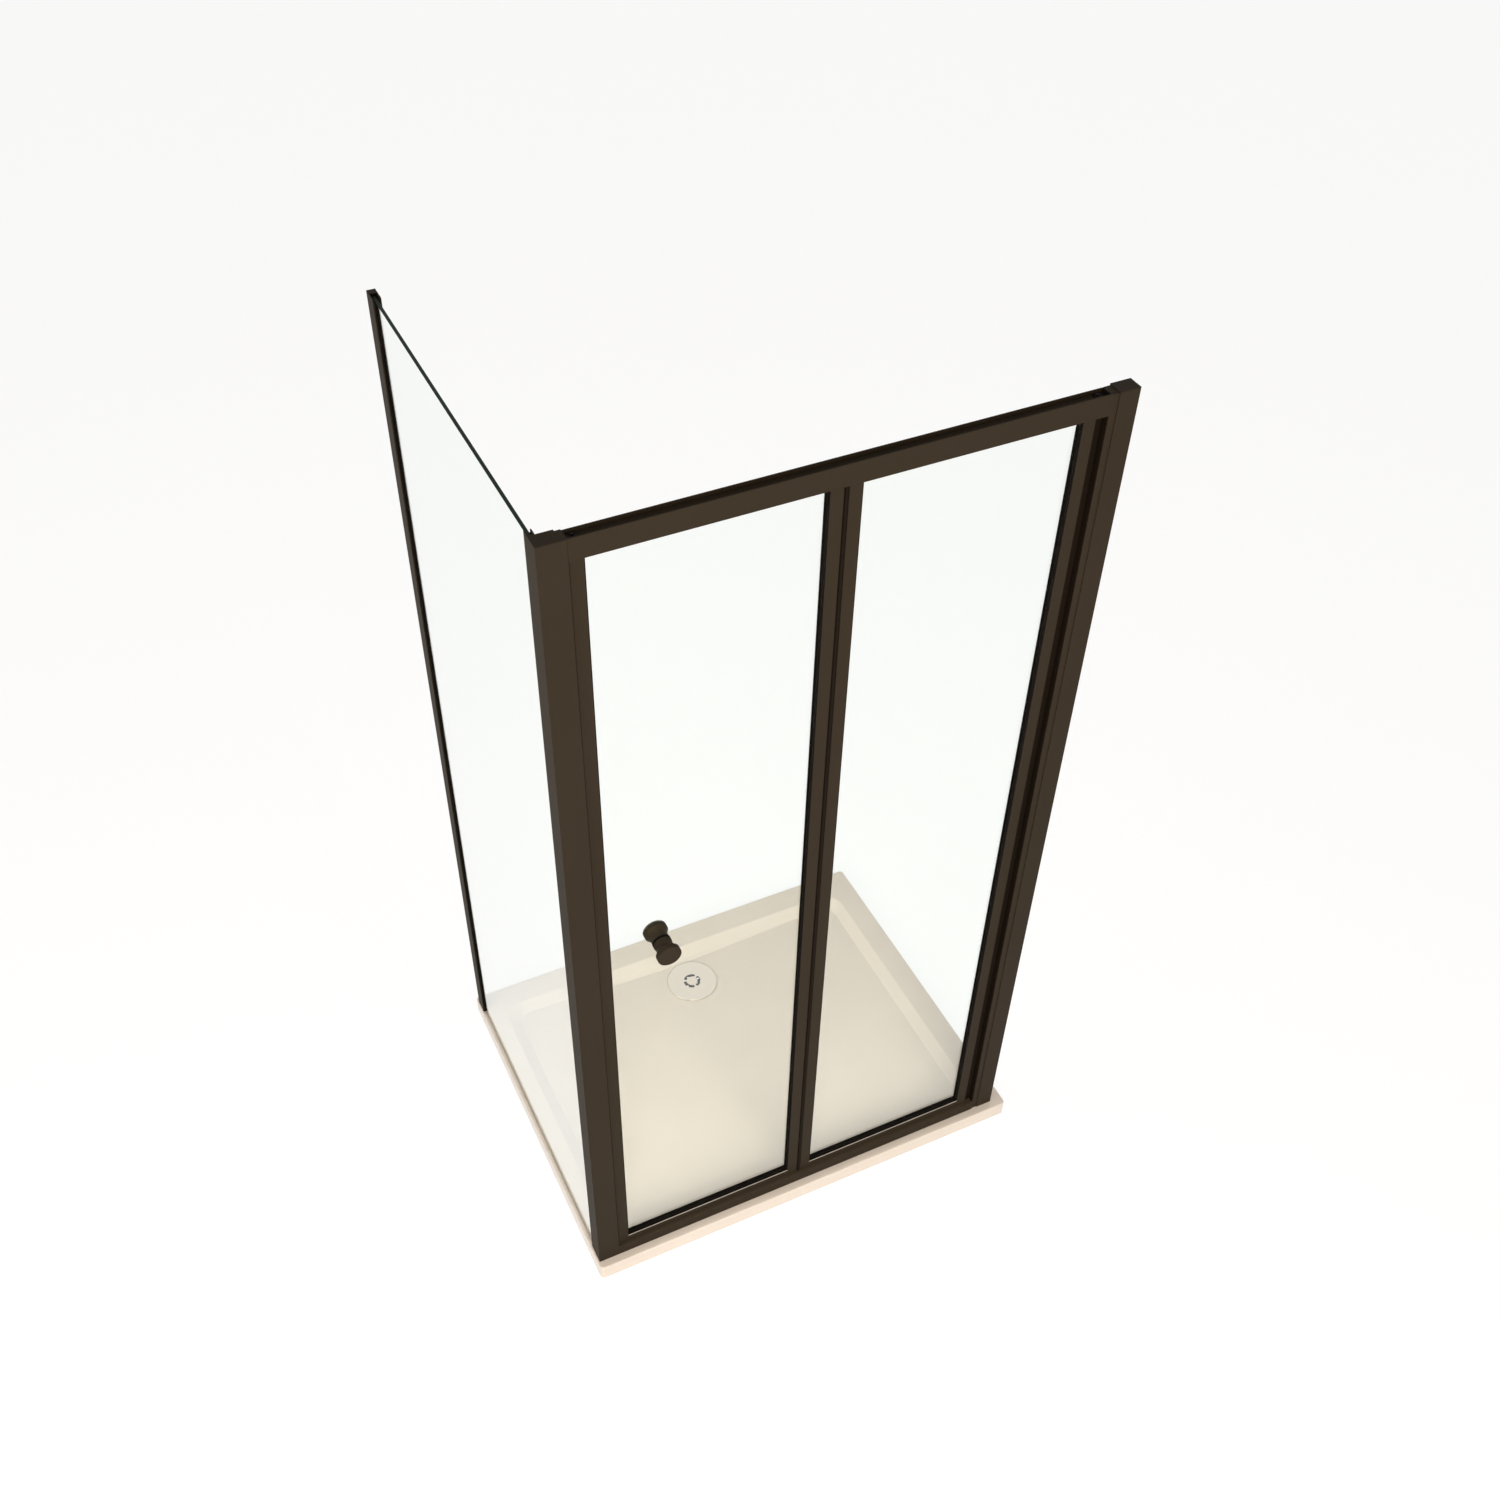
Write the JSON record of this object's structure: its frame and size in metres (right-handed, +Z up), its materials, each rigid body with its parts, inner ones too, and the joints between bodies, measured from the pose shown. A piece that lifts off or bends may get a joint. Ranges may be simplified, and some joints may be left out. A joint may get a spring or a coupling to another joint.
{
  "type": "shower enclosure with folding door",
  "caption": "Corner shower enclosure: low tray, fixed side glass, dark framed folding door on pivots with a guide track, round knobs and a chrome waste cover.",
  "frame": {"origin": "middle of the shower tray's underside, on the floor", "axes": "+X along the door from the corner post to the wall beside the pivot, -Y out of the door, +Z up"},
  "size_m": [1, 0.8, 1.89],
  "materials": {
    "cast_resin": "satin gel-coated stone resin",
    "polished_chrome": "polished plating",
    "stainless_steel": "turned stainless steel",
    "coated_screw": "black coated",
    "black_rubber": "matt extruded rubber",
    "black_plastic": "moulded, fine matt grain",
    "clear_silicone": "tooled translucent sealant",
    "safety_glass": "clear toughened glass",
    "powder_coated_aluminium": "matt powder coat over extruded aluminium"
  },
  "bodies": {
    "enclosure": {"shower_tray": "cast_resin", "waste_flange": "polished_chrome", "waste_seal": "black_rubber", "waste_lock_nut": "black_plastic", "waste_strainer": "stainless_steel", "waste_cover": "polished_chrome", "corner_post": "powder_coated_aluminium", "corner_post_cap": "black_plastic", "side_wall_profile": "powder_coated_aluminium", "side_wall_profile_cap": "black_plastic", "side_glass": "safety_glass", "side_glazing_wedges": "black_rubber", "side_glass_bead": "clear_silicone", "strike_seal": "black_rubber", "door_wall_profile": "powder_coated_aluminium", "door_wall_profile_cap": "black_plastic", "pivot_jamb": "powder_coated_aluminium", "pivot_jamb_cap": "black_plastic", "jamb_screws": "coated_screw", "pivot_stop": "black_plastic", "jamb_seal": "black_rubber", "header_rail": "powder_coated_aluminium", "sill_rail": "powder_coated_aluminium", "frame_brackets": "coated_screw", "joint_screws": "coated_screw", "bracket_screws": "coated_screw", "upper_pivot_bush": "black_plastic", "lower_pivot_bush": "black_plastic"},
    "pivot_leaf": {"pivot_stile": "powder_coated_aluminium", "pivot_leaf_hinge_stile": "powder_coated_aluminium", "pivot_leaf_hinge_strip": "black_plastic", "pivot_leaf_top_rail": "powder_coated_aluminium", "pivot_leaf_bottom_rail": "powder_coated_aluminium", "pivot_leaf_glass": "safety_glass", "pivot_leaf_gasket": "black_rubber", "pivot_leaf_screws": "coated_screw", "pivot_stile_plugs": "black_plastic", "upper_pivot_pin": "stainless_steel", "lower_pivot_pin": "stainless_steel", "pivot_leaf_drip_seal": "black_rubber"},
    "leading_leaf": {"leading_stile": "powder_coated_aluminium", "leading_leaf_hinge_stile": "powder_coated_aluminium", "leading_leaf_hinge_strip": "black_plastic", "leading_leaf_top_rail": "powder_coated_aluminium", "leading_leaf_bottom_rail": "powder_coated_aluminium", "leading_leaf_glass": "safety_glass", "leading_leaf_gasket": "black_rubber", "leading_leaf_screws": "coated_screw", "leading_stile_plugs": "black_plastic", "upper_guide_pin": "stainless_steel", "lower_guide_pin": "stainless_steel", "leading_leaf_drip_seal": "black_rubber", "hinge_rod": "stainless_steel", "knob_outer": "powder_coated_aluminium", "knob_inner": "powder_coated_aluminium", "knob_washers": "black_rubber", "knob_stud": "stainless_steel"},
    "upper_guide_roller": {"upper_guide_roller": "black_plastic"},
    "lower_guide_roller": {"lower_guide_roller": "black_plastic"}
  },
  "joints": [
    {"name": "pivot_leaf_swing", "type": "hinge", "parent": "enclosure", "child": "pivot_leaf", "pos_m": [0.395, -0.3606, 0.985], "axis": [0, 0, -1], "range_deg": [0, 80]},
    {"name": "leaf_fold", "type": "hinge", "parent": "pivot_leaf", "child": "leading_leaf", "pos_m": [-0.02175, -0.3731, 0.985], "axis": [0, 0, 1], "range_deg": [0, 160]},
    {"name": "upper_guide_roller_spin", "type": "hinge", "parent": "leading_leaf", "child": "upper_guide_roller", "pos_m": [-0.4385, -0.3606, 1.87], "axis": [0, 0, 1], "continuous": true},
    {"name": "lower_guide_roller_spin", "type": "hinge", "parent": "leading_leaf", "child": "lower_guide_roller", "pos_m": [-0.4385, -0.3606, 0.059], "axis": [0, 0, 1], "continuous": true}
  ],
  "couplings": [
    {"joint": "leaf_fold", "follows": "pivot_leaf_swing", "ratio": 2}
  ]
}
